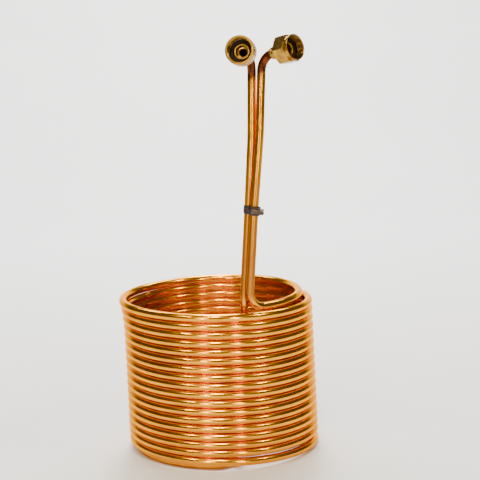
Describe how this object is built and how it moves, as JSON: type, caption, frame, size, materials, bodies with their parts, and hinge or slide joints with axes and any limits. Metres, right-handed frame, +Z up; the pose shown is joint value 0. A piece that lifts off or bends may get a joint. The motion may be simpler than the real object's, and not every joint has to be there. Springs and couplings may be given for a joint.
{
  "type": "immersion wort chiller",
  "caption": "Close wound copper tube coil with two risers held by a worm drive clamp, each ending in a brass swivel hose nut, for cooling hot wort with tap water.",
  "frame": {"origin": "on the surface it stands on, under the middle of its overall box", "axes": "+Z up along the coil's axis and the risers; the risers and their fittings are on the -Y side; the hex nut faces +X and -Y"},
  "size_m": [0.2308, 0.2586, 0.4824],
  "materials": {
    "copper": "polished",
    "brass": "satin",
    "steel": "satin",
    "rubber": "matt",
    "solder": "satin"
  },
  "bodies": {
    "tube_assembly": {"coil": "copper", "top_riser": "copper", "bottom_riser": "copper", "round_tailpiece": "brass", "hex_tailpiece": "brass", "round_solder": "solder", "hex_solder": "solder", "clamp_band": "steel", "clamp_housing": "steel"},
    "round_swivel": {"round_nut": "brass", "round_washer": "rubber"},
    "hex_swivel": {"hex_nut": "brass", "hex_washer": "rubber"},
    "screw": {"clamp_screw": "steel"}
  },
  "joints": [
    {"name": "round_nut_swivel", "type": "hinge", "parent": "tube_assembly", "child": "round_swivel", "pos_m": [0.02987, -0.12448, 0.46716], "axis": [-0.2449, -0.947, 0.2079], "continuous": true},
    {"name": "hex_nut_swivel", "type": "hinge", "parent": "tube_assembly", "child": "hex_swivel", "pos_m": [0.08945, -0.10574, 0.4683], "axis": [0.6917, -0.6917, 0.2079], "continuous": true},
    {"name": "clamp_screw_turn", "type": "hinge", "parent": "tube_assembly", "child": "screw", "pos_m": [0.04816, -0.08381, 0.29067], "axis": [0.9982, 0, -0.0593], "continuous": true}
  ]
}
